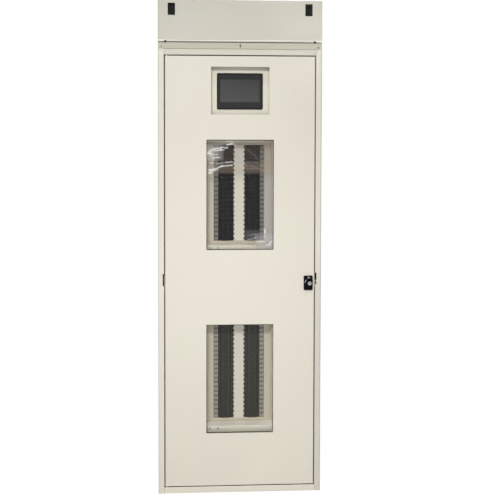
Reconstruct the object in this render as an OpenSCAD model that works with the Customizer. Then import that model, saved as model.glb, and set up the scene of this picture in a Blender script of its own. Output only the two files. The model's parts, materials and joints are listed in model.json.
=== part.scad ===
// Remote power panel: a tall steel cabinet with one flush door, a touch screen seen through
// a cut-out in the door, and two breaker panelboards seen through windows.
// Millimetres. +Z is up, the front faces -Y, and the origin is the centre of the floor anchors.

/* [Cabinet] */
// Width over the side panels
cabinet_w = 660; // [600:1:800]
// Height from the floor to the roof
cabinet_h = 2000; // [1900:1:2200]
// Depth from the door's front face to the rear panel's back face
cabinet_d = 610; // [450:1:900]
// Sheet thickness of the door and the door frame
frame_sheet = 2; // [1.5:0.1:3]
// Sheet thickness of the side panels, inner panel and trays
panel_sheet = 1.5; // [1:0.1:2.5]
// Thickness of the roof and rear sheets
roof_sheet = 2; // [1.5:0.1:3]
// Outer radius of every fold in the sheet metal
fold_r = 3; // [1:0.1:3]
// Leg length of the corner posts
post_leg = 40; // [30:1:60]
// Thickness of the corner posts
post_sheet = 3; // [2:0.1:4]
// Thickness of the base plate
base_t = 3; // [2:0.1:6]
// Distance of the floor anchors from the sides of the cabinet
anchor_inset_x = 60; // [45:1:100]
// Distance of the floor anchors from the front and the back of the cabinet
anchor_inset_y = 75; // [60:1:120]
// Radius of a floor anchor hole
anchor_r = 7; // [4:0.5:10]
// Width of a cable entry in the roof and in the base
entry_w = 180; // [100:1:190]
// Depth of a cable entry
entry_d = 140; // [80:1:190]
// Spacing between the centres of the two cable entries
entry_spacing = 230; // [220:1:260]

/* [Header] */
// Height of the header cover
header_h = 166; // [120:1:240]
// Height of the strip between the header cover and the door frame
strip_h = 29; // [20:1:50]
// How far the strip lies behind the front face
strip_recess = 4; // [2:0.5:8]
// Radius of the rolled lip along the bottom of the header cover
lip_r = 4; // [3:0.5:6]
// Radius of the round corner reliefs at the ends of the lip
relief_r = 5; // [4:0.5:7]
// Width of a header latch
header_latch_w = 29; // [24:1:40]
// Height of a header latch
header_latch_h = 48; // [44:1:50]
// Distance of a header latch's centre from the side of the cabinet
header_latch_inset = 54; // [45:1:90]
// Distance of a header latch's centre below the top of the cabinet
header_latch_drop = 37; // [37:1:60]
// Travel of a header latch's slide
header_slide_travel = 6; // [4:0.5:7]
// Thickness of the sheet of the hooks behind the header
hook_sheet = 1.5; // [1:0.1:2]
// Width of a hook behind the header
hook_w = 16; // [13:0.5:22]
// Height of the foot that fixes a hook to its post
hook_foot_h = 22; // [15:1:40]
// Width of the slot in the middle of the strip
strip_slot_w = 4; // [3:0.5:8]
// Height of the slot in the middle of the strip
strip_slot_h = 12; // [8:1:18]

/* [Door frame] */
// Width of the frame's side face
stile_w = 24; // [20:0.5:40]
// Height of the frame's top face
top_rail_h = 24.5; // [20:0.5:40]
// Height of the frame's bottom face
bottom_rail_h = 26.5; // [20:0.5:60]
// Depth of the frame's inner return, from the front face to its stop
frame_return = 33; // [31:0.5:36]
// Width of the stop flange behind the door
stop_w = 18; // [14:0.5:24]
// Thickness of the seal on the stop flange
seal_t = 4; // [3:0.5:4.5]
// Gap between the door and its frame
door_gap = 3.5; // [3:0.5:5]
// Height of the latch notch in the side faces
notch_h = 50; // [40:1:70]
// Width of the latch notch
notch_w = 6; // [4:0.5:10]
// Height of the notch's centre above the latch's centre
notch_rise = 15; // [8:1:20]
// Height of the keeper behind the right notch
keeper_h = 29; // [24:1:40]
// Distance of the keeper's centre below the latch's centre
keeper_fall = 4; // [0:0.5:8]
// Width of the slot in the keeper
keeper_slot_w = 4; // [3:0.5:6]

/* [Door] */
// Depth of the door
door_depth = 25; // [22:0.5:25]
// Width of the lip folded in behind the door's sides
door_lip = 12; // [10:0.5:18]
// Distance of the hinge axis from the door's edge and from its front face
hinge_inset = 7; // [6.5:0.1:8]
// Radius of a hinge pin
hinge_pin_r = 3; // [2:0.1:3.5]
// Length of a hinge pin inside the door
hinge_pin_reach = 30; // [20:1:40]
// Width of the cut-out in front of the screen
screen_cut_w = 235; // [220:1:300]
// Height of the cut-out in front of the screen
screen_cut_h = 192; // [180:1:220]
// Distance of the screen's centre below the top of the door
screen_drop = 138.5; // [125:0.5:160]
// Width of a breaker window
window_w = 272; // [240:1:300]
// Height of a breaker window
window_h = 446; // [400:1:470]
// Share of the door's free height that lies between the screen and the upper window
screen_gap_share = 0.2325; // [0.1:0.0001:0.35]
// Share of the door's free height that lies around the main breakers
main_gap_share = 0.2213; // [0.1:0.0001:0.35]
// Thickness of a window pane
pane_t = 3; // [2:0.5:5]
// How far a pane reaches behind the edge of its window
pane_overlap = 12; // [8:0.5:20]
// Width of the retainer around a pane
retainer_w = 18; // [14:0.5:30]
// Thickness of the retainer
retainer_t = 2; // [1:0.1:4]
// How far the retainer's lip shows inside the edge of its window
retainer_lip = 3; // [1:0.5:6]
// Thickness of the clear film on the upper window
film_t = 0.4; // [0.2:0.1:0.6]
// Gap between the film's edge and the window's edge
film_margin = 3; // [1:0.5:6]

/* [Latch] */
// Width of the latch housing
latch_w = 36; // [34:1:46]
// Height of the latch housing
latch_h = 58; // [45:1:90]
// How far the latch housing stands proud of the door
latch_proud = 8; // [5:0.5:14]
// Distance of the latch housing's centre from the door's free edge
latch_inset = 25; // [24:0.5:40]
// Distance of the latch's centre below the middle of the door
latch_fall = 43.5; // [20:0.5:80]
// Distance of the turning knob from the housing's centre
knob_offset = 4.5; // [0:0.5:5]
// Outer radius of the raised collar around the knob
collar_r = 19; // [16:0.5:22]
// Width of the collar
collar_w = 5; // [3:0.5:8]
// Height of the collar above the housing
collar_rise = 3; // [1:0.5:5]
// Radius of the turning knob
knob_r = 12.5; // [11:0.5:13]
// Height of the turning knob
knob_t = 8; // [6:0.5:14]
// Radius of the lock plug
plug_r = 8; // [6:0.5:9]
// Radius of the knob's shaft
latch_shaft_r = 6; // [5:0.5:7]
// Radius of the housing's sleeve through the door
latch_sleeve_r = 9; // [8.5:0.5:11]
// Reach of the cam past the door's free edge
cam_reach = 10; // [8:0.5:12]
// Width of the cam
cam_w = 16; // [12:0.5:20]
// Thickness of the cam
cam_t = 3; // [2:0.5:4]

/* [Inner panel] */
// Distance of the inner panel's front face behind the door's front face
inner_depth = 48; // [44:1:60]
// Gap between the inner panel and the mounting rails beside it
inner_gap = 2; // [1:0.5:4]
// Depth of a breaker tray behind the inner panel
tray_depth = 62; // [40:1:80]
// Margin between the breakers and the sides of their tray
tray_side_margin = 29; // [20:1:40]
// Margin between the breakers and the top and bottom of their tray
tray_end_margin = 12; // [8:1:16]
// Width of the flange around a tray
tray_flange = 15; // [10:1:20]

/* [Breakers] */
// Spacing of the breaker poles
pole_pitch = 19.05; // [17.5:0.05:20]
// Number of breaker poles in a column
poles = 21; // [15:1:21]
// Width of a breaker column
breaker_w = 62.5; // [56:0.5:68]
// Depth of a breaker behind its face
breaker_d = 54; // [45:1:70]
// How far a breaker's nose stands proud of its shoulders
nose_rise = 4; // [2:0.5:6]
// How far a breaker's handle stands proud of its nose
handle_rise = 5; // [3:0.5:9]
// Width of the bus cover between the columns
bus_cover_w = 46; // [40:0.5:56]
// Depth of the notches along the bus cover's edges
comb_depth = 4; // [2:0.5:6]
// Width of a terminal strip
terminal_w = 18.5; // [14:0.5:24]
// Thickness of the insulating bus base
bus_base_t = 24; // [15:1:35]
// Width of a busbar
busbar_w = 6; // [4:0.5:8]
// Depth of a busbar
busbar_d = 20; // [10:1:30]
// Width of a neutral or ground bar
earth_bar_w = 16; // [10:1:22]

/* [Main breakers] */
// Width of a main breaker
main_w = 105; // [90:1:130]
// Height of a main breaker
main_h = 165; // [140:1:190]
// Depth of a main breaker behind the inner panel
main_d = 84; // [70:1:110]
// Spacing between the two main breakers
main_spacing = 170; // [140:1:200]
// Radius of a main breaker's toggle barrel
toggle_r = 12; // [10:0.5:13]
// Width of a main breaker's toggle
toggle_w = 22; // [16:0.5:30]
// Width of the shoulder beside a main breaker's nose
main_shoulder_w = 19; // [12:0.5:24]
// Height of the shoulder above and below a main breaker's nose
main_shoulder_h = 33; // [20:0.5:45]
// Margin of the main breakers' pan above and below them
main_pan_margin = 12; // [6:1:20]
// How far the toggle's grip stands out of its barrel
toggle_grip = 9; // [6:0.5:12]

/* [Screen] */
// Width of the screen's bezel
bezel_w = 187; // [170:1:200]
// Height of the screen's bezel
bezel_h = 147; // [130:1:160]
// Thickness of the bezel
bezel_t = 6; // [4:0.5:9]
// Width of the display
display_w = 160; // [140:1:164]
// Height of the display
display_h = 92; // [80:1:110]
// Height of the display's centre above the bezel's centre
display_rise = 2; // [0:0.5:6]
// How far the display glass lies behind the bezel's face
glass_sunk = 0.8; // [0.3:0.1:2]
// Depth of the screen's housing behind the inner panel
screen_housing_d = 44; // [30:1:70]

/* [Fits] */
// Radial clearance of a pin or shaft in its bore
bore_clear = 0.05; // [0.02:0.01:0.1]
// Clearance around a piece that slides
slide_clear = 0.3; // [0.2:0.05:0.5]
// Clearance around a piece set into a cut-out
set_clear = 0.5; // [0.3:0.1:1]

/* [Hidden] */
$fn = 48;
over = 1;

paint = [0.88, 0.86, 0.80];
paint_shade = [0.80, 0.77, 0.70];
black = [0.10, 0.10, 0.10];
grey = [0.55, 0.55, 0.54];
zinc = [0.72, 0.72, 0.70];
copper = [0.72, 0.45, 0.25];

half_w = cabinet_w / 2;
front_y = -cabinet_d / 2;
function at(depth) = front_y + depth;

// Levels of the front, from the top down
header_bottom = cabinet_h - header_h;
frame_top = header_bottom - strip_h;
open_top = frame_top - top_rail_h;
open_bottom = bottom_rail_h;
open_half = half_w - stile_w;
door_top = open_top - door_gap;
door_bottom = open_bottom + door_gap;
door_half = open_half - door_gap;
screen_z = door_top - screen_drop;
latch_z = (door_top + door_bottom) / 2 - latch_fall;

// The windows and their trays share the height below the screen with the main breakers' pan
column_h = poles * pole_pitch;
tray_half_h = column_h / 2 + tray_end_margin;
unit_half = max(window_h / 2 + retainer_w, tray_half_h + tray_flange);
main_pan_h = main_h + 2 * main_pan_margin;
screen_low = screen_z - screen_cut_h / 2;
free_h = screen_low - door_bottom - frame_sheet - 4 * unit_half - main_pan_h;
upper_z = screen_low - free_h * screen_gap_share - unit_half;
lower_z = upper_z - 2 * unit_half - main_pan_h - free_h * main_gap_share;
main_z = (upper_z + lower_z) / 2;

// Hinge axis
hinge_x = -door_half + hinge_inset;
hinge_depth = hinge_inset;

// Depths of the inner pieces, behind the door's front face
stop_back = frame_return;
post_front = stop_back;
outer_return = stop_back - frame_sheet - over;
rail_t = 2;
rail_leg = 26;
inner_back = inner_depth + panel_sheet;
rail_back = inner_back + rail_t;
tray_floor = inner_depth + tray_depth;
breaker_face = tray_floor - nose_rise;
breaker_back = breaker_face + breaker_d;
bus_base_back = breaker_back + bus_base_t;
pan_t = 2;
main_back = inner_back + main_d;
rear_inside = cabinet_d - roof_sheet;

// Plan sizes of the inner pieces
stop_edge = open_half - stop_w;
post_edge = stop_edge + 0.5;
rail_face = post_edge - rail_t;
inner_half = rail_face - inner_gap;
inner_bottom = open_bottom + 10;
inner_top = frame_top - 12;
rail_bottom = base_t + 12;
roof_under = cabinet_h - roof_sheet;
column_in = bus_cover_w / 2 + 1.5;
column_out = column_in + breaker_w;
block_half = column_out + terminal_w;
tray_half = block_half + tray_side_margin;
breaker_gap = 0.4;
pan_margin = 26;

// Latch
latch_x = door_half - latch_inset;
knob_x = latch_x + knob_offset;
knob_depth = -latch_proud - knob_t - slide_clear;
plug_seat = knob_depth + knob_t * 0.6;
plug_wall = 2;
plug_proud = 1.5;
key_half = 1;
latch_corner_r = 4;
cam_depth = 12;
cam_length = door_half - knob_x + door_gap + cam_reach;
notch_z = latch_z + notch_rise;
keeper_low = latch_z - keeper_fall - keeper_h / 2;
cam_sweep = cam_length + cam_w / 2;

// Header latch
header_latch_x = half_w - header_latch_inset;
header_latch_z = cabinet_h - header_latch_drop;
latch_wall = 4;
latch_body_d = 10;
latch_rim_t = 1.5;
latch_cut_w = header_latch_w - 2;
latch_cut_h = header_latch_h - 2;
pocket_w = header_latch_w - 2 * latch_wall;
pocket_h = header_latch_h - 2 * latch_wall - 2;
slide_w = pocket_w - 2 * slide_clear;
slide_h = pocket_h - header_slide_travel - 3 * slide_clear;
tongue_w = 12;
tongue_t = 2.4;
tongue_depth = 5;
slide_bottom = header_latch_z - pocket_h / 2 + slide_clear;
tongue_top = header_latch_z + header_latch_h / 2;
lip_z = header_bottom + lip_r + slide_clear;

// A box given by its low and high values across, in depth and in height
module block(across, depth, height)
    translate([across[0], at(depth[0]), height[0]])
        cube([across[1] - across[0], depth[1] - depth[0], height[1] - height[0]]);

// The same box on the left and on the right
module both_sides() {
    children();
    mirror([1, 0, 0]) children();
}

// A round bar along the depth
module depth_bar(x, z, r, depth)
    translate([x, at(depth[0]), z]) rotate([-90, 0, 0]) cylinder(r = r, h = depth[1] - depth[0]);

// A plate with round corners that faces the front
module rounded_plate(x, z, w, h, r, depth)
    translate([x, at(depth[1]), z]) rotate([90, 0, 0])
        linear_extrude(depth[1] - depth[0]) rounded_outline(w, h, r);

module rounded_outline(w, h, r) {
    square([w - 2 * r, h], center = true);
    square([w, h - 2 * r], center = true);
    for (sx = [-1, 1], sz = [-1, 1])
        translate([sx * (w / 2 - r), sz * (h / 2 - r)]) circle(r);
}

// Section of a folded sheet along a path of right angles, with its outer corners rounded at each fold
module folded_section(path, t, r = fold_r) difference() {
    last = len(path) - 1;
    union() for (i = [0 : last - 1]) {
        run = unit(path[i + 1] - path[i]);
        side = [-run[1], run[0]] * t / 2;
        a = path[i] - (i == 0 ? 0 : t / 2) * run;
        b = path[i + 1] + (i == last - 1 ? 0 : t / 2) * run;
        polygon([a + side, b + side, b - side, a - side]);
    }
    for (i = [1 : last - 1]) {
        arrive = unit(path[i] - path[i - 1]);
        leave = unit(path[i + 1] - path[i]);
        reach = r + over;
        translate(path[i] + (arrive - leave) * (t / 2 - r)) difference() {
            polygon([[0, 0], arrive * reach, (arrive - leave) * reach, -leave * reach]);
            circle(r);
        }
    }
}

function unit(v) = v / norm(v);

// A section in plan (across, depth) carried up from one level to another
module upright(levels)
    translate([0, front_y, levels[0]]) linear_extrude(levels[1] - levels[0]) children();

// A section in side view (depth, height) carried across between -half and half
module crosswise(half)
    translate([-half, front_y, 0]) rotate([90, 0, 90]) linear_extrude(2 * half) children();

// Door frame

module stile(side) color(paint) difference() {
    mirror([side < 0 ? 1 : 0, 0, 0]) upright([0, frame_top]) folded_section([
        [half_w - frame_sheet / 2, outer_return],
        [half_w - frame_sheet / 2, frame_sheet / 2],
        [open_half + frame_sheet / 2, frame_sheet / 2],
        [open_half + frame_sheet / 2, stop_back]
    ], frame_sheet);
    mirror([side < 0 ? 1 : 0, 0, 0]) {
        block([open_half - over, open_half + notch_w], [-over, cam_depth],
              [notch_z - notch_h / 2, notch_z + notch_h / 2]);
        block([open_half - over, open_half + notch_w], [cam_depth - 6, cam_depth + cam_t + 5],
              [latch_z - cam_sweep, notch_z + notch_h / 2]);
        block([open_half - over, open_half + notch_w], [frame_sheet, cam_depth],
              [keeper_low - set_clear, notch_z]);
    }
}

module frame_stile_left() stile(-1);
module frame_stile_right() stile(1);

// A rail of the frame between the stiles, given by its path
module frame_rail(path, pin_z) color(paint) difference() {
    crosswise(open_half) folded_section(path, frame_sheet);
    translate([hinge_x, at(hinge_depth), pin_z - frame_sheet])
        cylinder(r = hinge_pin_r + bore_clear, h = 2 * frame_sheet);
}

module frame_rail_top() frame_rail([
    [outer_return, frame_top - frame_sheet / 2],
    [frame_sheet / 2, frame_top - frame_sheet / 2],
    [frame_sheet / 2, open_top + frame_sheet / 2],
    [stop_back, open_top + frame_sheet / 2]
], open_top + frame_sheet / 2);

module frame_rail_bottom() frame_rail([
    [outer_return, frame_sheet / 2],
    [frame_sheet / 2, frame_sheet / 2],
    [frame_sheet / 2, open_bottom - frame_sheet / 2],
    [stop_back, open_bottom - frame_sheet / 2]
], open_bottom - frame_sheet / 2);

// Four strips round the opening, fixed to the returns of the stiles and rails, that stop the door
module door_stops() color(paint) {
    depth = [stop_back - frame_sheet, stop_back];
    both_sides() block([stop_edge, open_half], depth, [open_bottom, open_top]);
    for (levels = [[open_bottom, open_bottom + stop_w], [open_top - stop_w, open_top]])
        block([set_clear - stop_edge, stop_edge - set_clear], depth, levels);
}

// The recessed strip between the header cover and the door frame
module header_rail() color(paint_shade) difference() {
    crosswise(half_w) folded_section([
        [stop_back, frame_top + frame_sheet / 2],
        [strip_recess + frame_sheet / 2, frame_top + frame_sheet / 2],
        [strip_recess + frame_sheet / 2, header_bottom - frame_sheet / 2],
        [stop_back, header_bottom - frame_sheet / 2]
    ], frame_sheet);
    block([-strip_slot_w / 2, strip_slot_w / 2], [strip_recess - over, strip_recess + frame_sheet + over],
          [frame_top + (strip_h - strip_slot_h) / 2, frame_top + (strip_h + strip_slot_h) / 2]);
    both_sides() {
        block([half_w - stile_w / 2, half_w + over], [outer_return, stop_back + over],
              [frame_top - over, header_bottom + over]);
        depth_bar(open_half - relief_r, header_bottom, relief_r, [-over, strip_recess + 4 * frame_sheet]);
    }
}

// Cabinet shell

module base_plate() color(paint_shade) difference() {
    block([-half_w + panel_sheet, half_w - panel_sheet], [stop_back, rear_inside], [0, base_t]);
    for (sx = [-1, 1], sy = [-1, 1])
        translate([sx * (half_w - anchor_inset_x), sy * (cabinet_d / 2 - anchor_inset_y), -over])
            cylinder(r = anchor_r, h = base_t + 2 * over);
    for (sx = [-1, 1])
        translate([sx * entry_spacing / 2 - entry_w / 2, -entry_d / 2, -over])
            cube([entry_w, entry_d, base_t + 2 * over]);
}

// Two blank plates over the cable entries, with their lowest face at the given level
module gland_plates(level) {
    lap = 14;
    for (sx = [-1, 1])
        translate([sx * entry_spacing / 2 - entry_w / 2 - lap, -entry_d / 2 - lap, level])
            cube([entry_w + 2 * lap, entry_d + 2 * lap, roof_sheet]);
}

module base_gland_plates() color(zinc) gland_plates(base_t);
module roof_gland_plates() color(paint_shade) gland_plates(roof_under - roof_sheet);

module roof_panel() color(paint) difference() {
    crosswise(half_w) folded_section([
        [stop_back - panel_sheet + roof_sheet / 2, roof_under - stop_w],
        [stop_back - panel_sheet + roof_sheet / 2, cabinet_h - roof_sheet / 2],
        [cabinet_d, cabinet_h - roof_sheet / 2]
    ], roof_sheet);
    both_sides() block([stop_edge - 2 * stop_w, half_w + over],
                       [stop_back - 2 * panel_sheet, stop_back + 2 * roof_sheet],
                       [roof_under - 2 * stop_w, roof_under]);
    for (sx = [-1, 1])
        translate([sx * entry_spacing / 2 - entry_w / 2, -entry_d / 2, roof_under - over])
            cube([entry_w, entry_d, roof_sheet + 2 * over]);
}

module side_panel(side) color(paint)
    mirror([side < 0 ? 1 : 0, 0, 0]) upright([0, roof_under]) folded_section([
        [half_w - stile_w / 2, stop_back - panel_sheet / 2],
        [half_w - panel_sheet / 2, stop_back - panel_sheet / 2],
        [half_w - panel_sheet / 2, rear_inside]
    ], panel_sheet);

module side_panel_left() side_panel(-1);
module side_panel_right() side_panel(1);

module rear_panel() color(paint)
    block([-half_w, half_w], [rear_inside, cabinet_d], [0, roof_under]);

// Four folded posts that stand on the base plate and carry the panels, the frame and the rails
module corner_posts() color(black) both_sides() {
    side_x = half_w - panel_sheet - post_sheet / 2;
    upright([base_t, roof_under]) folded_section([
        [post_edge, post_front + post_sheet / 2],
        [side_x, post_front + post_sheet / 2],
        [side_x, post_front + post_leg]
    ], post_sheet);
    upright([base_t, roof_under]) folded_section([
        [half_w - post_leg, rear_inside - post_sheet / 2],
        [side_x, rear_inside - post_sheet / 2],
        [side_x, rear_inside - post_leg]
    ], post_sheet);
}

// Inner panel and trays

module mounting_rail(side) color(zinc)
    mirror([side < 0 ? 1 : 0, 0, 0]) upright([rail_bottom, inner_top]) folded_section([
        [post_edge - rail_t / 2, post_front],
        [post_edge - rail_t / 2, rail_back - rail_t / 2],
        [post_edge - rail_leg, rail_back - rail_t / 2]
    ], rail_t);

module mounting_rail_left() mounting_rail(-1);
module mounting_rail_right() mounting_rail(1);

screen_box_half_w = display_w / 2 + 4;
screen_box_half_h = display_h / 2 + 16;
main_nose_w = main_w - 2 * main_shoulder_w;
main_nose_h = main_h - 2 * main_shoulder_h;

module inner_panel() color(paint_shade) difference() {
    block([-inner_half, inner_half], [inner_depth, inner_back], [inner_bottom, inner_top]);
    through = [inner_depth - over, inner_back + over];
    for (z = [upper_z, lower_z])
        block([-tray_half - set_clear, tray_half + set_clear], through,
              [z - tray_half_h - set_clear, z + tray_half_h + set_clear]);
    block([-screen_box_half_w - set_clear, screen_box_half_w + set_clear], through,
          [screen_z - screen_box_half_h - set_clear, screen_z + screen_box_half_h + set_clear]);
    for (sx = [-1, 1])
        rounded_plate(sx * main_spacing / 2, main_z, main_nose_w + 2 * set_clear,
                      main_nose_h + 2 * set_clear, 3, through);
}

// A pressed tray: flange against the inner panel's back, four walls, and a floor cut for the breakers
module tray(z) color(paint_shade) difference() {
    wall = panel_sheet;
    union() {
        block([-tray_half - tray_flange, tray_half + tray_flange], [inner_back, inner_back + wall],
              [z - tray_half_h - tray_flange, z + tray_half_h + tray_flange]);
        block([-tray_half - wall, tray_half + wall], [inner_back, tray_floor + wall],
              [z - tray_half_h - wall, z + tray_half_h + wall]);
    }
    block([-tray_half, tray_half], [inner_back - over, tray_floor], [z - tray_half_h, z + tray_half_h]);
    block([-block_half - set_clear, block_half + set_clear], [tray_floor - over, tray_floor + wall + over],
          [z - column_h / 2 - set_clear, z + column_h / 2 + set_clear]);
}

module upper_tray() tray(upper_z);
module lower_tray() tray(lower_z);

// Branch breakers

// One pole of a column on the right: case, stepped nose and a low rocker handle set to off
module breaker_pole() {
    height = pole_pitch - breaker_gap;
    shoulder = breaker_w * 0.2;
    nose_in = column_in + shoulder;
    nose_out = column_out - shoulder;
    linear_extrude(height, center = true) polygon([
        [column_in, breaker_back], [column_in, breaker_face + nose_rise],
        [nose_in - nose_rise, breaker_face + nose_rise], [nose_in, breaker_face],
        [nose_out, breaker_face], [nose_out + nose_rise, breaker_face + nose_rise],
        [column_out, breaker_face + nose_rise], [column_out, breaker_back]
    ]);
    handle_mid = (nose_in + nose_out) / 2;
    handle_half = breaker_w * 0.14;
    linear_extrude(height * 0.55, center = true) polygon([
        [handle_mid - handle_half, breaker_face + 1], [handle_mid - handle_half, breaker_face - 1],
        [handle_mid + handle_half * 0.4, breaker_face - handle_rise],
        [handle_mid + handle_half, breaker_face - handle_rise],
        [handle_mid + handle_half, breaker_face + 1]
    ]);
}

module breakers(z) color(black) both_sides()
    for (i = [0 : poles - 1])
        translate([0, front_y, z - column_h / 2 + (i + 0.5) * pole_pitch]) breaker_pole();

module upper_breakers() breakers(upper_z);
module lower_breakers() breakers(lower_z);

// A strip of wire clamps beside each column, one clamp to a pole
module terminals(z) color(grey) both_sides() {
    strip_front = tray_floor + 2;
    clamp_h = pole_pitch * 0.56;
    clamp_in = column_out + 1.5;
    clamp_out = block_half - 2.5;
    clamp_rise = 5;
    block([column_out, block_half], [strip_front, breaker_back - 10], [z - column_h / 2, z + column_h / 2]);
    for (i = [0 : poles - 1]) {
        pole_z = z - column_h / 2 + (i + 0.5) * pole_pitch;
        difference() {
            block([clamp_in, clamp_out], [strip_front - clamp_rise, strip_front + over],
                  [pole_z - clamp_h / 2, pole_z + clamp_h / 2]);
            depth_bar((clamp_in + clamp_out) / 2, pole_z, clamp_h * 0.32,
                      [strip_front - clamp_rise - over, strip_front - clamp_rise / 2]);
        }
    }
}

module upper_terminals() terminals(upper_z);
module lower_terminals() terminals(lower_z);

// Channel over the busbars, with a comb of notches along both edges, one to a pole
module bus_cover(z) color(paint) difference() {
    cover_front = breaker_face;
    cover_t = 1.5;
    leg_x = bus_cover_w / 2 - comb_depth - cover_t;
    comb_h = pole_pitch * 0.46;
    union() {
        block([-bus_cover_w / 2, bus_cover_w / 2], [cover_front, cover_front + cover_t],
              [z - column_h / 2, z + column_h / 2]);
        both_sides() block([leg_x - cover_t, leg_x], [cover_front, breaker_back],
                           [z - column_h / 2, z + column_h / 2]);
    }
    both_sides() for (i = [0 : poles - 1]) {
        pole_z = z - column_h / 2 + (i + 0.5) * pole_pitch;
        block([bus_cover_w / 2 - comb_depth, bus_cover_w / 2 + over],
              [cover_front - over, cover_front + cover_t + over], [pole_z - comb_h / 2, pole_z + comb_h / 2]);
    }
}

module upper_bus_cover() bus_cover(upper_z);
module lower_bus_cover() bus_cover(lower_z);

module bus_bases() color(black) for (z = [upper_z, lower_z])
    block([-column_out, column_out], [breaker_back, bus_base_back], [z - column_h / 2, z + column_h / 2]);

// Three phase bars behind each bus cover, seated on the bus base
module busbars() color(copper) for (z = [upper_z, lower_z], phase = [-1, 0, 1]) {
    x = phase * busbar_w * 1.6;
    block([x - busbar_w / 2, x + busbar_w / 2], [breaker_back - busbar_d, breaker_back],
          [z - column_h / 2 + pole_pitch, z + column_h / 2 - pole_pitch]);
}

// A channel between the mounting rails, closed at the back
module back_pan(z, half_h, back) color(zinc)
    upright([z - half_h, z + half_h]) folded_section([
        [-post_edge + pan_t / 2, rail_back],
        [-post_edge + pan_t / 2, back + pan_t / 2],
        [post_edge - pan_t / 2, back + pan_t / 2],
        [post_edge - pan_t / 2, rail_back]
    ], pan_t);

module panelboard_pans() for (z = [upper_z, lower_z])
    back_pan(z, column_h / 2 + pan_margin, bus_base_back);

module main_back_pan() back_pan(main_z, main_pan_h / 2, main_back);

// A drilled bar on two feet, on the pan beside a panelboard
module drilled_bar(x, z) {
    bar_front = bus_base_back - 18;
    bar_back = bus_base_back - 8;
    half_h = column_h / 2 - pole_pitch;
    difference() {
        block([x - earth_bar_w / 2, x + earth_bar_w / 2], [bar_front, bar_back], [z - half_h, z + half_h]);
        for (i = [1 : poles - 3])
            depth_bar(x, z - half_h + i * pole_pitch, earth_bar_w * 0.2, [bar_front - over, bar_back + over]);
    }
    for (s = [-1, 1])
        block([x - earth_bar_w / 2, x + earth_bar_w / 2], [bar_back, bus_base_back],
              [z + s * half_h - (s > 0 ? earth_bar_w : 0), z + s * half_h + (s > 0 ? 0 : earth_bar_w)]);
}

module neutral_bars() color(zinc) for (z = [upper_z, lower_z])
    drilled_bar((block_half + post_edge) / 2, z);

module ground_bar() color(copper) drilled_bar(-(block_half + post_edge) / 2, lower_z);

// Main breakers

main_nose_depth = inner_depth - 5;
toggle_depth = main_nose_depth + toggle_r / 4;

module main_breaker(sx) color(black) difference() {
    x = sx * main_spacing / 2;
    union() {
        rounded_plate(x, main_z, main_w, main_h, 3, [inner_back, main_back]);
        rounded_plate(x, main_z, main_nose_w, main_nose_h, 3, [main_nose_depth, inner_back]);
    }
    translate([x - toggle_w / 2 - slide_clear, at(toggle_depth), main_z]) rotate([0, 90, 0])
        cylinder(r = toggle_r + bore_clear, h = toggle_w + 2 * slide_clear);
    for (s = [-1, 1])
        rounded_plate(x, main_z + s * (main_nose_h / 2 - 10), main_nose_w - 12, 8, 2,
                      [main_nose_depth - over, main_nose_depth + 1.5]);
}

module main_breaker_left() main_breaker(-1);
module main_breaker_right() main_breaker(1);

// The toggle hangs down at rest, in its off position
toggle_rest = -25;

module main_toggle(sx) color(grey)
    translate([sx * main_spacing / 2, at(toggle_depth), main_z]) rotate([toggle_rest * -1, 0, 0]) {
        translate([-toggle_w / 2, 0, 0]) rotate([0, 90, 0]) cylinder(r = toggle_r, h = toggle_w);
        translate([-toggle_w / 2, 0, 0]) rotate([90, 0, 90]) linear_extrude(toggle_w) polygon([
            [0, -toggle_r * 0.5], [-toggle_r - toggle_grip, -toggle_r * 0.3],
            [-toggle_r - toggle_grip, toggle_r * 0.3], [0, toggle_r * 0.5]
        ]);
    }

module main_toggle_left() main_toggle(-1);
module main_toggle_right() main_toggle(1);

// Touch screen

module screen_housing() color(black)
    block([-screen_box_half_w, screen_box_half_w], [inner_depth, inner_depth + screen_housing_d],
          [screen_z - screen_box_half_h, screen_z + screen_box_half_h]);

module screen_bezel() color(black) difference() {
    rounded_plate(0, screen_z, bezel_w, bezel_h, 5, [inner_depth - bezel_t, inner_depth]);
    block([-display_w / 2, display_w / 2], [inner_depth - bezel_t - over, inner_depth + over],
          [screen_z + display_rise - display_h / 2, screen_z + display_rise + display_h / 2]);
}

module screen_glass() color(grey) {
    half_w = display_w / 2 - bore_clear;
    half_h = display_h / 2 - bore_clear;
    mid_z = screen_z + display_rise;
    block([-half_w, half_w], [inner_depth - bezel_t + glass_sunk, inner_depth],
          [mid_z - half_h, mid_z + half_h]);
}

module screen_clamps() color(zinc) both_sides() for (s = [-1, 1])
    block([screen_box_half_w, screen_box_half_w + 8], [inner_back, inner_back + 10],
          [screen_z + s * screen_box_half_h * 0.6 - 6, screen_z + s * screen_box_half_h * 0.6 + 6]);

// Pieces on the cabinet that serve the door and the header cover

module door_gasket() color(black) difference() {
    seal_in = stop_w - 4;
    depth = [stop_back - frame_sheet - seal_t, stop_back - frame_sheet];
    block([-open_half + 2, open_half - 2], depth, [open_bottom + 2, open_top - 2]);
    block([-open_half + seal_in, open_half - seal_in], [depth[0] - over, depth[1] + over],
          [open_bottom + seal_in, open_top - seal_in]);
}

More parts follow.
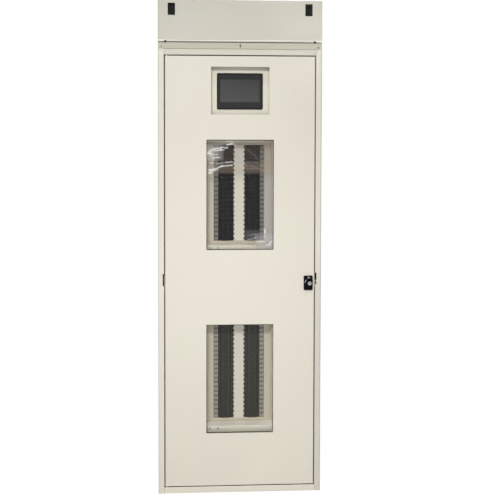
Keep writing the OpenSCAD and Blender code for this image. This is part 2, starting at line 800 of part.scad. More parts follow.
// Pins held in the frame's rails; the lower one has a collar that carries the door
module hinge_pins() color(zinc) {
    collar_r = hinge_pin_r + 2;
    translate([hinge_x, at(hinge_depth), door_top - hinge_pin_reach])
        cylinder(r = hinge_pin_r, h = hinge_pin_reach + door_gap + frame_sheet);
    translate([hinge_x, at(hinge_depth), open_top + frame_sheet]) cylinder(r = collar_r, h = 3);
    translate([hinge_x, at(hinge_depth), open_bottom - 2 * frame_sheet])
        cylinder(r = hinge_pin_r, h = 2 * frame_sheet + door_gap + hinge_pin_reach);
    translate([hinge_x, at(hinge_depth), open_bottom]) cylinder(r = collar_r, h = door_gap);
}

// Slotted tab on the back of the right stile's face, seen in the notch; the cam turns in behind it
module latch_keeper() color(zinc) difference() {
    depth = [frame_sheet, frame_sheet + 2];
    outer = open_half + frame_sheet + notch_w + 4;
    slot_x = open_half + keeper_slot_w / 2;
    slot_z = keeper_low + keeper_h * 0.62;
    block([door_half + 2 * slide_clear, outer], depth, [keeper_low, keeper_low + keeper_h]);
    rounded_plate(slot_x, slot_z, keeper_slot_w, 3 * keeper_slot_w, keeper_slot_w / 3,
                  [depth[0] - over, depth[1] + over]);
}

// Hooks on the front posts that the header latches catch
module header_catches() color(zinc) both_sides() {
    hook_z = tongue_top + header_slide_travel + over + hook_sheet;
    hook_in = header_latch_x - hook_w / 2;
    lip_depth = tongue_depth - over;
    block([hook_in, half_w - stile_w / 2 - hook_sheet], [stop_back - hook_sheet, stop_back],
          [hook_z - hook_foot_h, hook_z]);
    block([hook_in, hook_in + hook_w], [lip_depth - hook_sheet, stop_back],
          [hook_z - hook_sheet, hook_z]);
    block([hook_in, hook_in + hook_w], [lip_depth - hook_sheet, lip_depth],
          [tongue_top + hook_sheet, hook_z]);
}

// A low round screw head with a cross recess, its seat at the given depth
module screw_head(x, z, r, seat) difference() {
    depth_bar(x, z, r, [seat - r * 0.5, seat]);
    block([x - r * 0.6, x + r * 0.6], [seat - r, seat - r * 0.25], [z - r * 0.12, z + r * 0.12]);
    block([x - r * 0.12, x + r * 0.12], [seat - r, seat - r * 0.25], [z - r * 0.6, z + r * 0.6]);
}

strip_screw_r = 4;

module strip_screws() color(zinc) both_sides()
    screw_head(half_w - stile_w * 0.6, frame_top + strip_h * 0.28, strip_screw_r, strip_recess);

panel_screw_r = 4;

// Screws of the trays at their lower left, and of the inner panel along its sides
module panel_screws() color(zinc) {
    for (z = [upper_z, lower_z], x = [-tray_half + 13, -tray_half + 46])
        screw_head(x, z - tray_half_h - tray_flange * 0.6, panel_screw_r, inner_depth);
    both_sides() for (z = [inner_bottom + 20, lower_z, main_z, upper_z, inner_top - 20])
        screw_head(inner_half - 11, z, panel_screw_r, inner_depth);
}

rear_screw_inset = 18;
rear_screw_rows = 6;

// Screws around the rear panel, set from behind
module rear_screws() color(zinc) mirror([0, 1, 0]) both_sides()
    for (i = [0 : rear_screw_rows - 1])
        screw_head(half_w - rear_screw_inset,
                   2 * rear_screw_inset + i * (roof_under - 4 * rear_screw_inset) / (rear_screw_rows - 1),
                   panel_screw_r, 0);

// Door

module door_panel() color(paint) difference() {
    t = frame_sheet;
    union() {
        upright([door_bottom, door_top]) folded_section([
            [-door_half + door_lip, door_depth - t / 2],
            [-door_half + t / 2, door_depth - t / 2],
            [-door_half + t / 2, t / 2],
            [door_half - t / 2, t / 2],
            [door_half - t / 2, door_depth - t / 2],
            [door_half - door_lip, door_depth - t / 2]
        ], t);
        for (z = [door_bottom, door_top - t])
            block([-door_half + fold_r, door_half - fold_r], [t / 2, door_depth], [z, z + t]);
    }
    through = [-over, t + over];
    block([-screen_cut_w / 2, screen_cut_w / 2], through,
          [screen_z - screen_cut_h / 2, screen_z + screen_cut_h / 2]);
    for (z = [upper_z, lower_z])
        block([-window_w / 2, window_w / 2], through, [z - window_h / 2, z + window_h / 2]);
    depth_bar(knob_x, latch_z, latch_sleeve_r + set_clear, through);
    block([door_half - t - fold_r, door_half + over], [cam_depth - 3, cam_depth + cam_t + 3],
          [latch_z - cam_sweep, latch_z + cam_w / 2 + 4]);
    for (z = [door_bottom, door_top])
        translate([hinge_x, at(hinge_depth), z - t - over])
            cylinder(r = hinge_pin_r + set_clear, h = 2 * (t + over));
}

module window_pane(z)
    block([-window_w / 2 - pane_overlap, window_w / 2 + pane_overlap], [frame_sheet, frame_sheet + pane_t],
          [z - window_h / 2 - pane_overlap, z + window_h / 2 + pane_overlap]);

module upper_window_pane() color([0.85, 0.9, 0.92, 0.3]) window_pane(upper_z);
module lower_window_pane() color([0.85, 0.9, 0.92, 0.3]) window_pane(lower_z);

// Frames that clamp the panes to the back of the door: a rim round the pane and a lip behind it
module window_retainers() color(black) for (z = [upper_z, lower_z]) difference() {
    rim = retainer_w - pane_overlap;
    outer = pane_overlap + rim;
    pane_back = frame_sheet + pane_t;
    block([-window_w / 2 - outer, window_w / 2 + outer], [frame_sheet, pane_back + retainer_t],
          [z - window_h / 2 - outer, z + window_h / 2 + outer]);
    block([-window_w / 2 - pane_overlap, window_w / 2 + pane_overlap], [frame_sheet - over, pane_back],
          [z - window_h / 2 - pane_overlap, z + window_h / 2 + pane_overlap]);
    block([retainer_lip - window_w / 2, window_w / 2 - retainer_lip],
          [pane_back - over, pane_back + retainer_t + over],
          [z - window_h / 2 + retainer_lip, z + window_h / 2 - retainer_lip]);
}

// Clear film that lies on the front of the upper pane, inside the window
module window_film() color([1, 1, 1, 0.25])
    block([-window_w / 2 + film_margin, window_w / 2 - film_margin], [frame_sheet - film_t, frame_sheet],
          [upper_z - window_h / 2 + film_margin, upper_z + window_h / 2 - film_margin]);

// Blocks in the door's left corners that turn on the hinge pins
module hinge_blocks() color(zinc) for (top = [false, true]) difference() {
    length = hinge_pin_reach + 6;
    low = top ? door_top - frame_sheet - length : door_bottom + frame_sheet;
    block([-door_half + frame_sheet, hinge_x + hinge_inset], [frame_sheet, hinge_depth + hinge_inset],
          [low, low + length]);
    translate([hinge_x, at(hinge_depth), low - over])
        cylinder(r = hinge_pin_r + bore_clear, h = length + 2 * over);
}

// Latch

// A plate with a raised collar round the knob, and a sleeve through the door
module latch_housing() color(black) difference() {
    collar_front = -latch_proud - collar_rise;
    union() {
        rounded_plate(latch_x, latch_z, latch_w, latch_h, latch_corner_r, [-latch_proud, 0]);
        intersection() {
            rounded_plate(latch_x, latch_z, latch_w, latch_h, latch_corner_r, [collar_front, 0]);
            difference() {
                depth_bar(knob_x, latch_z, collar_r, [collar_front, -over]);
                depth_bar(knob_x, latch_z, collar_r - collar_w, [collar_front - over, 0]);
            }
        }
        depth_bar(knob_x, latch_z, latch_sleeve_r, [-over, cam_depth - slide_clear]);
    }
    depth_bar(knob_x, latch_z, latch_shaft_r + bore_clear, [-latch_proud - over, cam_depth]);
}

// Knob with two finger flats, its shaft, and a bore for the lock plug
module latch_knob() color(grey) difference() {
    union() {
        difference() {
            depth_bar(knob_x, latch_z, knob_r, [knob_depth, -latch_proud - slide_clear]);
            both_sides_of_knob() block([plug_r + plug_wall, knob_r + over], [knob_depth - over, plug_seat],
                                       [-knob_r, knob_r]);
        }
        depth_bar(knob_x, latch_z, latch_shaft_r, [-latch_proud - slide_clear - over, cam_depth]);
    }
    depth_bar(knob_x, latch_z, plug_r + bore_clear, [knob_depth - over, plug_seat]);
}

module both_sides_of_knob() translate([knob_x, 0, latch_z]) both_sides() children();

// Lock plug with a key slot, set in the knob
module lock_plug() color(zinc) difference() {
    depth_bar(knob_x, latch_z, plug_r, [knob_depth - plug_proud, plug_seat]);
    block([knob_x - key_half, knob_x + key_half], [knob_depth - plug_proud - over, plug_seat - plug_wall],
          [latch_z - plug_r * 0.6, latch_z + plug_r * 0.6]);
}

// Cam on the end of the knob's shaft; it hangs down at rest, so that the door is free
module latch_cam() color(zinc) {
    depth = [cam_depth, cam_depth + cam_t];
    depth_bar(knob_x, latch_z, cam_w / 2, depth);
    block([knob_x - cam_w / 2, knob_x + cam_w / 2], depth, [latch_z - cam_length, latch_z]);
    depth_bar(knob_x, latch_z, 5, [cam_depth + cam_t, cam_depth + cam_t + 3]);
}

// Header

// A pan with a rolled lip along its bottom, cut for the latches and relieved at the lip's ends
module header_cover() color(paint) difference() {
    t = panel_sheet;
    back = stop_back - panel_sheet - set_clear;
    union() {
        upright([lip_z, cabinet_h - t / 2]) folded_section([
            [-half_w + t / 2, back],
            [-half_w + t / 2, t / 2],
            [half_w - t / 2, t / 2],
            [half_w - t / 2, back]
        ], t);
        block([-half_w + fold_r, half_w - fold_r], [t / 2, back], [cabinet_h - t, cabinet_h]);
        crosswise(open_half - relief_r) translate([t / 2, lip_z]) circle(lip_r);
        block([-open_half + relief_r, open_half - relief_r], [t / 2, 3 * lip_r],
              [header_bottom + slide_clear, header_bottom + slide_clear + t]);
        both_sides() block([open_half - relief_r, half_w - fold_r], [0, t],
                           [header_bottom + slide_clear, lip_z + over]);
    }
    both_sides() {
        depth_bar(open_half - relief_r, header_bottom, relief_r, [-2 * lip_r, 4 * lip_r]);
        block([header_latch_x - latch_cut_w / 2, header_latch_x + latch_cut_w / 2], [-over, t + over],
              [header_latch_z - latch_cut_h / 2, header_latch_z + latch_cut_h / 2]);
    }
}

// Flush slide latches: a rim on the cover's face, a pocket for the slide and a channel for its tongue
module header_latches() color(black) both_sides() difference() {
    union() {
        rounded_plate(header_latch_x, header_latch_z, header_latch_w, header_latch_h, 2, [-latch_rim_t, 0]);
        rounded_plate(header_latch_x, header_latch_z, latch_cut_w - 2 * slide_clear,
                      latch_cut_h - 2 * slide_clear, 1.5, [0, latch_body_d]);
    }
    block([header_latch_x - pocket_w / 2, header_latch_x + pocket_w / 2], [-latch_rim_t - over, tongue_depth],
          [header_latch_z - pocket_h / 2, header_latch_z + pocket_h / 2]);
    block([header_latch_x - tongue_w / 2 - slide_clear, header_latch_x + tongue_w / 2 + slide_clear],
          [tongue_depth - over, tongue_depth + tongue_t + 2 * slide_clear],
          [header_latch_z - pocket_h / 2, header_latch_z + header_latch_h]);
}

// Thumb slide with a finger well and a tongue that rises behind the hook; it rests low, unlatched
module header_slide(side) color(grey) mirror([side < 0 ? 1 : 0, 0, 0]) {
    x = [header_latch_x - slide_w / 2, header_latch_x + slide_w / 2];
    difference() {
        block(x, [0.5, tongue_depth - slide_clear], [slide_bottom, slide_bottom + slide_h]);
        rounded_plate(header_latch_x, slide_bottom + slide_h * 0.4, slide_w - 5, slide_h * 0.5, 2, [0, 3]);
    }
    block([header_latch_x - tongue_w / 2, header_latch_x + tongue_w / 2],
          [tongue_depth - slide_clear - over, tongue_depth + slide_clear + tongue_t],
          [slide_bottom + 2, slide_bottom + slide_h]);
    block([header_latch_x - tongue_w / 2, header_latch_x + tongue_w / 2],
          [tongue_depth + slide_clear, tongue_depth + slide_clear + tongue_t],
          [slide_bottom + slide_h - over, tongue_top]);
}

module header_slide_left() header_slide(-1);
module header_slide_right() header_slide(1);

frame_stile_left();
frame_stile_right();
frame_rail_top();
frame_rail_bottom();
door_stops();
header_rail();
base_plate();
base_gland_plates();
roof_panel();
roof_gland_plates();
side_panel_left();
side_panel_right();
rear_panel();
corner_posts();
mounting_rail_left();
mounting_rail_right();
inner_panel();
upper_tray();
lower_tray();
upper_breakers();
lower_breakers();
upper_terminals();
lower_terminals();
upper_bus_cover();
lower_bus_cover();
bus_bases();
busbars();
panelboard_pans();
main_back_pan();
main_breaker_left();
main_breaker_right();
main_toggle_left();
main_toggle_right();
neutral_bars();
ground_bar();
screen_housing();
screen_bezel();
screen_glass();
screen_clamps();
door_gasket();
hinge_pins();
latch_keeper();
header_catches();
strip_screws();
panel_screws();
rear_screws();
door_panel();
upper_window_pane();
lower_window_pane();
window_retainers();
window_film();
hinge_blocks();
latch_housing();
latch_knob();
lock_plug();
latch_cam();
header_cover();
header_latches();
header_slide_left();
header_slide_right();
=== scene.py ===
"""Dressed model of the remote power panel, on the frame that the CAD part gives. Metres, +Z up."""
import json
import math

import bpy
import numpy
from mathutils import Matrix, Vector


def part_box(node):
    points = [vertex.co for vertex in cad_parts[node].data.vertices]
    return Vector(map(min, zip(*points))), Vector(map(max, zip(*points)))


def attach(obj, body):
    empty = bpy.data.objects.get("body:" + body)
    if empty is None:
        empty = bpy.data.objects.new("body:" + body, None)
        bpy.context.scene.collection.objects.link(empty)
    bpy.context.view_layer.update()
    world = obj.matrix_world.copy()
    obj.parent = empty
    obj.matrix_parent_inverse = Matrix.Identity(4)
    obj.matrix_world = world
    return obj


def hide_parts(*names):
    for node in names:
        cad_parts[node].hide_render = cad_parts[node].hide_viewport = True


MM = 0.001

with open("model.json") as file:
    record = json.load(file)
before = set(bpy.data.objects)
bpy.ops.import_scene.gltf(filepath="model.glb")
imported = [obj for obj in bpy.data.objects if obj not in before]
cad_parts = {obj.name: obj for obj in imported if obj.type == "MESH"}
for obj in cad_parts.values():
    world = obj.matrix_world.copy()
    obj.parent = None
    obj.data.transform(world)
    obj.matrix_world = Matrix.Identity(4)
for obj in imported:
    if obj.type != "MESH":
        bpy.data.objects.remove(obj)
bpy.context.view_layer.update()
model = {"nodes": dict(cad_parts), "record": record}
nodes = model["nodes"]
scene = bpy.context.scene
scene.view_settings.view_transform = "Standard"


# Helpers for materials

def srgb(red, green, blue):
    """Linear colour from 0-255 screen values."""
    def linear(value):
        share = value / 255
        return share / 12.92 if share <= 0.04045 else ((share + 0.055) / 1.055) ** 2.4
    return (linear(red), linear(green), linear(blue), 1.0)


def new_group(name, inputs, outputs):
    """A shader node group with the named float, colour or vector sockets."""
    group = bpy.data.node_groups.new(name, "ShaderNodeTree")
    for socket, kind, value in inputs:
        item = group.interface.new_socket(socket, in_out="INPUT", socket_type=kind)
        if value is not None:
            item.default_value = value
    for socket, kind in outputs:
        group.interface.new_socket(socket, in_out="OUTPUT", socket_type=kind)
    enter = group.nodes.new("NodeGroupInput")
    leave = group.nodes.new("NodeGroupOutput")
    return group, enter, leave


def add(tree, kind, **settings):
    """A node of that kind with its properties set."""
    node = tree.nodes.new(kind)
    for key, value in settings.items():
        setattr(node, key, value)
    return node


def wire(tree, source, target):
    tree.links.new(source, target)


def noise(tree, vector, scale, detail):
    node = add(tree, "ShaderNodeTexNoise")
    node.inputs["Scale"].default_value = scale
    node.inputs["Detail"].default_value = detail
    wire(tree, vector, node.inputs["Vector"])
    return node


def span(tree, value, low, high, to_low, to_high):
    """Map one range onto another, clamped."""
    node = add(tree, "ShaderNodeMapRange")
    node.inputs["From Min"].default_value = low
    node.inputs["From Max"].default_value = high
    node.inputs["To Min"].default_value = to_low
    node.inputs["To Max"].default_value = to_high
    wire(tree, value, node.inputs["Value"])
    return node.outputs["Result"]


def make_coating():
    """Sprayed or moulded surface: fine grain in the normal, cloudy colour and uneven gloss."""
    group, enter, leave = new_group(
        "coating",
        [("Colour", "NodeSocketColor", (0.8, 0.8, 0.8, 1)),
         ("Roughness", "NodeSocketFloat", 0.5),
         ("Grain", "NodeSocketFloat", 900.0),
         ("Bump", "NodeSocketFloat", 0.05),
         ("Cloud", "NodeSocketFloat", 0.03),
         ("Tint", "NodeSocketFloat", 0.0)],
        [("Colour", "NodeSocketColor"), ("Roughness", "NodeSocketFloat"), ("Normal", "NodeSocketVector")])
    place = add(group, "ShaderNodeTexCoord")
    grain = add(group, "ShaderNodeTexNoise")
    grain.inputs["Detail"].default_value = 1.5
    wire(group, place.outputs["Object"], grain.inputs["Vector"])
    wire(group, enter.outputs["Grain"], grain.inputs["Scale"])
    bump = add(group, "ShaderNodeBump")
    bump.inputs["Distance"].default_value = 0.0002
    wire(group, enter.outputs["Bump"], bump.inputs["Strength"])
    wire(group, grain.outputs["Fac"], bump.inputs["Height"])
    cloud = noise(group, place.outputs["Object"], 2.2, 3.0)
    shade = add(group, "ShaderNodeHueSaturation")
    swing = add(group, "ShaderNodeMath", operation="MULTIPLY_ADD")
    centred = span(group, cloud.outputs["Fac"], 0.25, 0.75, -1.0, 1.0)
    wire(group, centred, swing.inputs[0])
    wire(group, enter.outputs["Cloud"], swing.inputs[1])
    swing.inputs[2].default_value = 1.0
    wire(group, swing.outputs[0], shade.inputs["Value"])
    wire(group, enter.outputs["Colour"], shade.inputs["Color"])
    patches = noise(group, place.outputs["Object"], 3.1, 1.0)
    hue = add(group, "ShaderNodeMath", operation="MULTIPLY_ADD")
    wire(group, span(group, patches.outputs["Fac"], 0.3, 0.7, -1.0, 1.0), hue.inputs[0])
    wire(group, enter.outputs["Tint"], hue.inputs[1])
    hue.inputs[2].default_value = 0.5
    wire(group, hue.outputs[0], shade.inputs["Hue"])
    gloss = add(group, "ShaderNodeMath", operation="MULTIPLY_ADD")
    wire(group, centred, gloss.inputs[0])
    gloss.inputs[1].default_value = 0.04
    wire(group, enter.outputs["Roughness"], gloss.inputs[2])
    wire(group, shade.outputs["Color"], leave.inputs["Colour"])
    wire(group, gloss.outputs[0], leave.inputs["Roughness"])
    wire(group, bump.outputs["Normal"], leave.inputs["Normal"])
    return group


def make_stepped():
    """One colour before a level along an axis of the object and another beyond it."""
    group, enter, leave = new_group(
        "stepped",
        [("Before", "NodeSocketColor", (0.2, 0.2, 0.2, 1)),
         ("Beyond", "NodeSocketColor", (0.2, 0.2, 0.2, 1)),
         ("Axis", "NodeSocketVector", (0.0, 1.0, 0.0)),
         ("Level", "NodeSocketFloat", 0.0),
         ("Width", "NodeSocketFloat", 0.001)],
        [("Colour", "NodeSocketColor")])
    place = add(group, "ShaderNodeTexCoord")
    along = add(group, "ShaderNodeVectorMath", operation="DOT_PRODUCT")
    wire(group, place.outputs["Object"], along.inputs[0])
    wire(group, enter.outputs["Axis"], along.inputs[1])
    past = add(group, "ShaderNodeMath", operation="SUBTRACT")
    wire(group, along.outputs["Value"], past.inputs[0])
    wire(group, enter.outputs["Level"], past.inputs[1])
    share = add(group, "ShaderNodeMath", operation="DIVIDE", use_clamp=True)
    wire(group, past.outputs[0], share.inputs[0])
    wire(group, enter.outputs["Width"], share.inputs[1])
    mix = add(group, "ShaderNodeMixRGB")
    wire(group, share.outputs[0], mix.inputs["Fac"])
    wire(group, enter.outputs["Before"], mix.inputs["Color1"])
    wire(group, enter.outputs["Beyond"], mix.inputs["Color2"])
    wire(group, mix.outputs["Color"], leave.inputs["Colour"])
    return group


coating = make_coating()
stepped = make_stepped()


def new_material(name):
    material = bpy.data.materials.new(name)
    material.use_nodes = True
    tree = material.node_tree
    return material, tree, tree.nodes["Principled BSDF"]


def add_step(tree, before, beyond, axis, level, width):
    """A node that changes from one colour to another over a width past a level, in metres."""
    node = add(tree, "ShaderNodeGroup", node_tree=stepped)
    node.inputs["Before"].default_value = before
    node.inputs["Beyond"].default_value = beyond
    node.inputs["Axis"].default_value = axis
    node.inputs["Level"].default_value = level
    node.inputs["Width"].default_value = width
    return node


def coated(name, colour, roughness, grain=900.0, bump=0.05, cloud=0.03, metallic=0.0, specular=0.5,
           tint=0.0, steps=()):
    """A coated, moulded or plated surface. Each step gives another colour beyond a level along an axis."""
    material, tree, shader = new_material(name)
    layer = add(tree, "ShaderNodeGroup", node_tree=coating)
    layer.inputs["Colour"].default_value = colour
    layer.inputs["Roughness"].default_value = roughness
    layer.inputs["Grain"].default_value = grain
    layer.inputs["Bump"].default_value = bump
    layer.inputs["Cloud"].default_value = cloud
    layer.inputs["Tint"].default_value = tint
    last = None
    for step in steps:
        change = add_step(tree, colour, *step)
        if last:
            wire(tree, last.outputs["Colour"], change.inputs["Before"])
        last = change
    if last:
        wire(tree, last.outputs["Colour"], layer.inputs["Colour"])
    wire(tree, layer.outputs["Colour"], shader.inputs["Base Color"])
    wire(tree, layer.outputs["Roughness"], shader.inputs["Roughness"])
    wire(tree, layer.outputs["Normal"], shader.inputs["Normal"])
    shader.inputs["Metallic"].default_value = metallic
    shader.inputs["Specular IOR Level"].default_value = specular
    return material


def clear(name, reflection, roughness, veil):
    """A clear sheet: see-through, with a reflection that grows towards grazing angles and a faint veil."""
    material, tree, shader = new_material(name)
    shader.inputs["Base Color"].default_value = (0.9, 0.9, 0.88, 1)
    shader.inputs["Roughness"].default_value = roughness
    through = add(tree, "ShaderNodeBsdfTransparent")
    mix = add(tree, "ShaderNodeMixShader")
    edge = add(tree, "ShaderNodeLayerWeight")
    edge.inputs["Blend"].default_value = 0.12
    amount = add(tree, "ShaderNodeMath", operation="MULTIPLY_ADD")
    wire(tree, edge.outputs["Fresnel"], amount.inputs[0])
    amount.inputs[1].default_value = reflection
    amount.inputs[2].default_value = veil
    wire(tree, amount.outputs[0], mix.inputs["Fac"])
    wire(tree, through.outputs[0], mix.inputs[1])
    wire(tree, shader.outputs[0], mix.inputs[2])
    wire(tree, mix.outputs[0], tree.nodes["Material Output"].inputs["Surface"])
    return material


def creased_film(name):
    """Clear film that takes the mesh's veil colour where its whiteness says so."""
    material, tree, shader = new_material(name)
    shader.inputs["Roughness"].default_value = 0.3
    veil = add(tree, "ShaderNodeAttribute", attribute_name="veil")
    wire(tree, veil.outputs["Color"], shader.inputs["Base Color"])
    mask = add(tree, "ShaderNodeAttribute", attribute_name="whiteness")
    wire(tree, mask.outputs["Fac"], shader.inputs["Alpha"])
    return material


def painted(name, colour, roughness=0.42, tint=0.0, steps=()):
    """Sprayed sheet metal."""
    return coated(name, colour, roughness, bump=0.04, cloud=0.012, tint=tint, steps=steps)


LEFTWARD = (-1.0, 0.0, 0.0)
RIGHTWARD = (1.0, 0.0, 0.0)
INWARD = (0.0, 1.0, 0.0)
OUTWARD = (0.0, -1.0, 0.0)
UPWARD = (0.0, 0.0, 1.0)
DOWNWARD = (0.0, 0.0, -1.0)


# Paints of the cabinet, the door and the header

CREAM = srgb(222, 216, 202)
CREAM_TINT = 0.016
SHELL = painted("cabinet_paint", CREAM, tint=CREAM_TINT)

# The frame's outer edges are painted greyer than its face, as painted shade on their rounded corners, and
# the right stile is painted greyer downward, as painted shade
right_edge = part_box("frame_stile_right")[1][0]
STILE_RIGHT = painted("stile_right_paint", CREAM, tint=CREAM_TINT,
                      steps=((srgb(209, 203, 192), DOWNWARD, -1.02, 0.25),
                             (srgb(168, 167, 158), RIGHTWARD, right_edge - 4.5 * MM, 3 * MM)))
left_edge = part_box("frame_stile_left")[0][0]
STILE_LEFT = painted("stile_left_paint", CREAM, tint=CREAM_TINT,
                     steps=((srgb(190, 184, 170), LEFTWARD, -left_edge - 3.5 * MM, 3 * MM),))

# The folded edges of the door and its rails lie in shade inside the gap round the door
EDGE_SHADE = srgb(105, 98, 82)
EDGE_DEEP = 1 * MM
EDGE_FADE = 0.5 * MM
door_low, door_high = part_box("door_panel")
front = door_low[1]
DOOR_PAINT = painted("door_paint", CREAM, tint=CREAM_TINT,
                     steps=((EDGE_SHADE, LEFTWARD, -door_low[0] - EDGE_DEEP, EDGE_FADE),
                            (EDGE_SHADE, RIGHTWARD, door_high[0] - EDGE_DEEP, EDGE_FADE),
                            (EDGE_SHADE, UPWARD, door_high[2] - EDGE_DEEP, EDGE_FADE),
                            (EDGE_SHADE, DOWNWARD, -door_low[2] - EDGE_DEEP, EDGE_FADE),
                            (CREAM, OUTWARD, -front - 2.5 * MM, 1 * MM)))
RAIL_LOW_PAINT = painted("rail_low_paint", CREAM, tint=CREAM_TINT,
                         steps=((srgb(36, 32, 26), INWARD, front + 0.7 * MM, 1 * MM),
                                (CREAM, INWARD, front + 13 * MM, 4 * MM)))
RAIL_CREAM = srgb(207, 203, 188)
rail_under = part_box("frame_rail_top")[0][2]
RAIL_PAINT = painted("rail_paint", RAIL_CREAM,
                     steps=((EDGE_SHADE, DOWNWARD, -rail_under - EDGE_DEEP, EDGE_FADE),
                            (RAIL_CREAM, OUTWARD, -front - 1 * MM, EDGE_FADE)))

# The header's rolled lip is painted lighter than its flat face, as a painted highlight along the lip
lip_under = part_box("header_cover")[0][2]
HEADER_PAINT = painted("header_paint", srgb(246, 243, 234),
                       steps=((srgb(200, 196, 182), UPWARD, lip_under + 5.2 * MM, 3 * MM),))

# The strip is painted dark where it runs up behind the header's lip: a painted shadow under the lip
strip_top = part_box("header_rail")[1][2]
STRIP_PAINT = painted("strip_paint", srgb(190, 185, 166), roughness=0.45,
                      steps=((srgb(92, 87, 75), UPWARD, strip_top - 4.5 * MM, 2 * MM),))

PANEL_PAINT = painted("panel_paint", srgb(236, 231, 212))

# The trays are painted darker towards their floors: painted shade deep in the recesses
tray_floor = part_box("upper_tray")[1][1]
TRAY_PAINT = painted("tray_paint", srgb(251, 247, 236), roughness=0.45,
                     steps=((srgb(192, 184, 164), INWARD, tray_floor - 12.5 * MM, 10 * MM),))

# Metal pieces

PLATED = {"grain": 300.0, "metallic": 1.0, "cloud": 0.08}
ZINC = coated("zinc_steel", (0.55, 0.55, 0.53, 1), 0.35, **PLATED)
DARK_SCREW = coated("dark_screw", (0.16, 0.155, 0.14, 1), 0.45, **PLATED)
PANEL_SCREW = coated("panel_screw", (0.5, 0.48, 0.43, 1), 0.5, **PLATED)
COPPER = coated("copper_bar", (0.72, 0.42, 0.26, 1), 0.3, metallic=1.0, cloud=0.1)
PLUG = coated("lock_chrome", (0.18, 0.18, 0.17, 1), 0.3, bump=0.0, metallic=1.0)
KEEPER = coated("keeper_plate", srgb(166, 160, 149), 0.4, cloud=0.02)
SCREW_GREY = coated("housing_screw_grey", srgb(128, 126, 121), 0.4)

# Breakers, terminals and their covers

MOULDED = {"grain": 1500.0, "cloud": 0.08}
# The upper breakers take a darker copy of the breaker black than the lower ones: painted shade for the
# upper window behind its film
BLACK_UP = coated("breaker_black_up", srgb(24, 23, 23), 0.55, specular=0.1, **MOULDED)
BLACK = coated("breaker_black", srgb(53, 52, 46), 0.55, specular=0.2, **MOULDED)
BUS_COVER = coated("bus_cover_plastic", srgb(210, 204, 190), 0.45, cloud=0.02)
TOGGLE = coated("toggle_grey", srgb(150, 150, 147), 0.45)
# Pale clamps stand before the darker terminal strips
clamp_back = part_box("upper_terminals")[0][1] + 1.5 * MM
# The terminals in the upper window take a darker copy of the terminal grey than those in the lower one:
# painted shade for the upper window behind its film
TERMINAL_UP = coated("terminal_grey_up", srgb(120, 117, 112), 0.5, cloud=0.05,
                     steps=((srgb(66, 64, 61), INWARD, clamp_back, 2 * MM),))
TERMINAL_LOW = coated("terminal_grey_low", srgb(160, 156, 149), 0.5, cloud=0.05,
                      steps=((srgb(110, 106, 100), INWARD, clamp_back, 2 * MM),))

# Window retainers, door stops, corner posts and the seal

# The corner posts are near black so that the notches and holes in front of them look dark: a dark piece
# standing in for shade, painted shade
FRAME_BLACK = coated("frame_black", srgb(8, 7, 6), 0.8, specular=0.02)
RETAINER = coated("retainer_dark", srgb(94, 88, 77), 0.6, specular=0.1)
# The door stops are dark brown as painted shade in the gap round the door
STOP_SHADE = coated("stop_shade", srgb(74, 69, 60), 0.7, specular=0.1)
RUBBER = coated("seal_rubber", srgb(45, 44, 42), 0.7)

# The touch screen: the bezel's rim is blacker than its face, and the glass lightens downward as a painted
# reflection

SCREEN_BLACK = coated("screen_black", srgb(20, 20, 20), 0.45, grain=1800.0, cloud=0.04, specular=0.2)
BEZEL_RIM = srgb(14, 13, 10)
RIM_BROAD = 5 * MM
RIM_TALL = 4.5 * MM
RIM_FADE = 1 * MM
bezel_low, bezel_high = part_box("screen_bezel")
BEZEL = coated("bezel_black", srgb(57, 57, 58), 0.45, grain=1800.0, cloud=0.04, specular=0.03,
               steps=((BEZEL_RIM, LEFTWARD, -bezel_low[0] - RIM_BROAD, RIM_FADE),
                      (BEZEL_RIM, RIGHTWARD, bezel_high[0] - RIM_BROAD, RIM_FADE),
                      (BEZEL_RIM, UPWARD, bezel_high[2] - RIM_TALL, RIM_FADE),
                      (BEZEL_RIM, DOWNWARD, -bezel_low[2] - RIM_TALL, RIM_FADE)))
SCREEN_GLASS = coated("screen_glass", srgb(59, 57, 59), 0.18, bump=0.0, cloud=0.04, specular=0.25,
                      steps=((srgb(76, 75, 74), DOWNWARD, -1.685, 90 * MM),))

# The latches: the door latch's collar has a painted glint, pale at its upper left

LATCH_BLACK = srgb(6, 6, 6)
UP_AND_LEFT = (-0.9, 0.0, 0.436)
COLLAR_FRONT = -0.3146
LATCH = coated("latch_black", LATCH_BLACK, 0.4, grain=1500.0, specular=0.04,
               steps=((srgb(205, 202, 195), UP_AND_LEFT, 0.1368, 3 * MM),
                      (LATCH_BLACK, INWARD, COLLAR_FRONT, 0.4 * MM)))
HEADER_LATCH = coated("header_latch_black", srgb(14, 14, 14), 0.5, specular=0.1)

# Clear sheets

PANE = clear("clear_pane", 0.6, 0.03, 0.004)
FILM = creased_film("clear_film")

